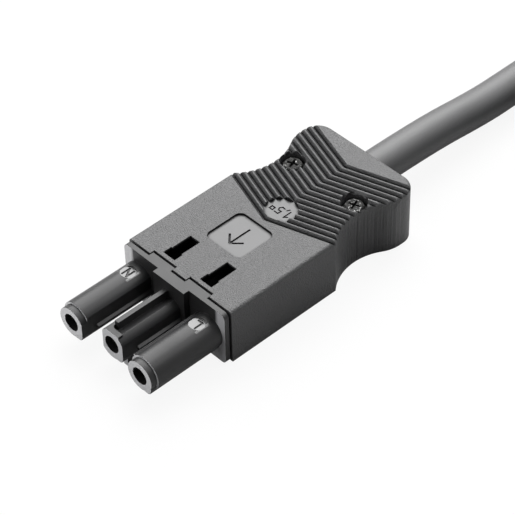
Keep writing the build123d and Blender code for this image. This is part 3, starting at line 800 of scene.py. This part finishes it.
class CONNECTOR_OT_housing(bpy.types.Operator):
    """Finish the grip housing's cover and base"""

    bl_idname = "connector.housing"
    bl_label = "Finish Housing"

    def execute(self, context):
        material = housing_plastic(context.scene.connector_colours.housing)
        for node in ("housing_cover", "housing_base"):
            dress(node, material)
        return {"FINISHED"}


class CONNECTOR_OT_carrier(bpy.types.Operator):
    """Finish the contact carrier with its flange and sleeves"""

    bl_idname = "connector.carrier"
    bl_label = "Finish Contact Carrier"

    def execute(self, context):
        dress("contact_carrier", carrier_plastic(context.scene.connector_colours.carrier))
        return {"FINISHED"}


class CONNECTOR_OT_contacts(bpy.types.Operator):
    """Finish the contact sockets and the bare conductors in them"""

    bl_idname = "connector.contacts"
    bl_label = "Finish Contacts"

    def execute(self, context):
        brass = metal("contact_metal", context.scene.connector_colours.brass, 0.32)
        copper = metal("copper_strand", COPPER, 0.35)
        for pole in POLES:
            dress(f"contact_{pole}", brass)
            dress(f"conductor_{pole}", copper)
        return {"FINISHED"}


class CONNECTOR_OT_screws(bpy.types.Operator):
    """Finish the cover screws and the clamp screws"""

    bl_idname = "connector.screws"
    bl_label = "Finish Screws"

    def execute(self, context):
        zinc = dark_patched_zinc(context.scene.connector_colours.zinc)
        for node in ("cover_screw_left", "cover_screw_right"):
            dress(node, zinc)
        for pole in POLES:
            dress(f"clamp_screw_{pole}", zinc)
        return {"FINISHED"}


class CONNECTOR_OT_cable(bpy.types.Operator):
    """Lay the cable with its coil, ties and stripped end"""

    bl_idname = "connector.cable"
    bl_label = "Lay Cable"

    def execute(self, context):
        sizes, colours, _ = settings_of(context)
        sheath = sheath_plastic(colours.sheath)
        cores = {
            "neutral": [smooth_plastic("core_blue", colours.blue)],
            "earth": [smooth_plastic("core_green", colours.green),
                      smooth_plastic("core_yellow", colours.yellow)],
            "live": [smooth_plastic("core_brown", colours.brown)],
        }
        tin = metal("ferrule_tin", TIN, 0.25, scale=1800.0)
        collar_black = smooth_plastic("collar_plastic", COLLAR_BLACK)
        dress("cable_in_housing", sheath)
        cable = make_cable(sizes, sheath)
        on_cable = []
        for pole in POLES:
            dress(f"core_{pole}", cores[pole][0])
            on_cable += make_core_end(pole, sizes, cores[pole], collar_black, tin)
        tape = woven_tape()
        for number, angle in enumerate(TIE_ANGLES, start=1):
            on_cable.append(make_tie(number, angle, sizes, tape))
        return {"FINISHED"}


def softbox(name, towards, distance, size, power):
    """Square area lamp that faces the connector."""
    lamp = bpy.data.lights.new(name, "AREA")
    lamp.shape = "SQUARE"
    lamp.size = size
    lamp.energy = power
    holder = bpy.data.objects.new(name, lamp)
    bpy.context.scene.collection.objects.link(holder)
    direction = Vector(towards).normalized()
    holder.location = direction * distance
    holder.rotation_euler = direction.to_track_quat("Z", "Y").to_euler()


def floor_material(base, bounce):
    """Pale floor that the camera sees as white, with a faint shadow of the object.

    Gloss and glass mirror the pale floor as it is lit, and other light meets a darker one, so
    that the floor doesn't light the object from below."""
    shader = Shader("floor")
    tree = shader.tree
    tree.nodes.remove(shader.surface)
    diffuse = shader.add("ShaderNodeBsdfDiffuse", {"Color": colour(bounce)}).outputs[0]
    pale = shader.add("ShaderNodeBsdfDiffuse", {"Color": colour(base)}).outputs[0]
    white = shader.add("ShaderNodeEmission", {"Color": WHITE, "Strength": 1.0}).outputs[0]
    shown = shader.add("ShaderNodeMixShader", {0: FLOOR_WHITENESS, 1: pale, 2: white}).outputs[0]
    path = shader.add("ShaderNodeLightPath").outputs
    mirrored = shader.math("MAXIMUM", path["Is Glossy Ray"], path["Is Transmission Ray"])
    thrown = shader.add("ShaderNodeMixShader", {0: mirrored, 1: diffuse, 2: pale}).outputs[0]
    seen = shader.add("ShaderNodeMixShader", {0: path["Is Camera Ray"], 1: thrown, 2: shown})
    tree.links.new(seen.outputs[0], tree.nodes["Material Output"].inputs["Surface"])
    return shader.material


def set_world():
    """White behind everything for the camera, gloss and glass, and a dim room for the rest."""
    world = bpy.data.worlds.new("studio")
    world.use_nodes = True
    tree = world.node_tree
    room = tree.nodes["Background"]
    room.inputs["Color"].default_value = WHITE
    room.inputs["Strength"].default_value = ROOM_STRENGTH
    white = tree.nodes.new("ShaderNodeBackground")
    white.inputs["Color"].default_value = WHITE
    white.inputs["Strength"].default_value = 1.0
    path = tree.nodes.new("ShaderNodeLightPath").outputs
    looked_at = path["Is Camera Ray"]
    for kind in ("Is Glossy Ray", "Is Transmission Ray"):
        larger = tree.nodes.new("ShaderNodeMath")
        larger.operation = "MAXIMUM"
        tree.links.new(looked_at, larger.inputs[0])
        tree.links.new(path[kind], larger.inputs[1])
        looked_at = larger.outputs[0]
    share = tree.nodes.new("ShaderNodeMixShader")
    tree.links.new(looked_at, share.inputs[0])
    tree.links.new(room.outputs[0], share.inputs[1])
    tree.links.new(white.outputs[0], share.inputs[2])
    tree.links.new(share.outputs[0], tree.nodes["World Output"].inputs[0])
    bpy.context.scene.world = world


def set_camera(lens):
    """Camera at the photograph's place, in the connector's own directions."""
    turn, rise, roll = (math.radians(angle) for angle in (CAMERA_TURN, CAMERA_RISE, CAMERA_ROLL))
    back = Vector((-math.cos(turn) * math.cos(rise), -math.sin(turn) * math.cos(rise),
                   math.sin(rise)))
    right = UP.cross(back).normalized()
    up = back.cross(right)
    across = right * math.cos(roll) + up * math.sin(roll)
    above = up * math.cos(roll) - right * math.sin(roll)
    data = bpy.data.cameras.new("camera")
    data.lens = lens
    data.sensor_width = 36.0
    data.shift_x, data.shift_y = CAMERA_SHIFT
    data.clip_start = 0.01
    data.clip_end = 100.0
    camera = bpy.data.objects.new("camera", data)
    bpy.context.scene.collection.objects.link(camera)
    turned_to = Matrix((across, above, back)).transposed().to_4x4()
    camera.matrix_world = Matrix.Translation(CAMERA_TARGET + back * CAMERA_DISTANCE) @ turned_to
    bpy.context.scene.camera = camera


class CONNECTOR_OT_stage(bpy.types.Operator):
    """Set up the floor, the lamps, the world and the camera"""

    bl_idname = "connector.stage"
    bl_label = "Set Up Stage"

    def execute(self, context):
        studio = context.scene.connector_studio
        mesh = bpy.data.meshes.new("floor")
        shape = bmesh.new()
        bmesh.ops.create_grid(shape, x_segments=1, y_segments=1, size=FLOOR_HALF)
        shape.to_mesh(mesh)
        shape.free()
        floor = bpy.data.objects.new("floor", mesh)
        mesh.materials.append(floor_material(studio.floor, studio.bounce))
        context.scene.collection.objects.link(floor)
        for name, (towards, distance, size) in SOFTBOXES.items():
            power = getattr(studio, f"{name}_power")
            softbox(f"{name}_softbox", towards, distance, size, power)
        set_world()
        set_camera(studio.lens)
        context.scene.view_settings.view_transform = "Standard"
        return {"FINISHED"}


class CONNECTOR_PT_panel(bpy.types.Panel):
    """Settings and steps of the connector"""

    bl_label = "Connector Cable"
    bl_idname = "CONNECTOR_PT_panel"
    bl_space_type = "VIEW_3D"
    bl_region_type = "UI"
    bl_category = "Connector"

    def draw(self, context):
        for group in settings_of(context):
            box = self.layout.box()
            for name in group.bl_rna.properties.keys():
                if name not in ("rna_type", "name"):
                    box.prop(group, name)
        for operator in OPERATORS:
            self.layout.operator(operator.bl_idname)


OPERATORS = (CONNECTOR_OT_housing, CONNECTOR_OT_carrier, CONNECTOR_OT_contacts,
             CONNECTOR_OT_screws, CONNECTOR_OT_cable, CONNECTOR_OT_stage)
GROUPS = {"connector_sizes": CableSizes, "connector_colours": ConnectorColours,
          "connector_studio": StudioSettings}


def register():
    """Register the settings, the operators and the panel."""
    for name, group in GROUPS.items():
        bpy.utils.register_class(group)
        setattr(bpy.types.Scene, name, PointerProperty(type=group))
    for operator in OPERATORS:
        bpy.utils.register_class(operator)
    bpy.utils.register_class(CONNECTOR_PT_panel)


def unregister():
    """Take them out again."""
    bpy.utils.unregister_class(CONNECTOR_PT_panel)
    for operator in reversed(OPERATORS):
        bpy.utils.unregister_class(operator)
    for name, group in GROUPS.items():
        delattr(bpy.types.Scene, name)
        bpy.utils.unregister_class(group)


def main():
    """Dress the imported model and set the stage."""
    register()
    bpy.ops.connector.housing()
    bpy.ops.connector.carrier()
    bpy.ops.connector.contacts()
    bpy.ops.connector.screws()
    bpy.ops.connector.cable()
    bpy.ops.connector.stage()


if __name__ == "__main__":
    main()
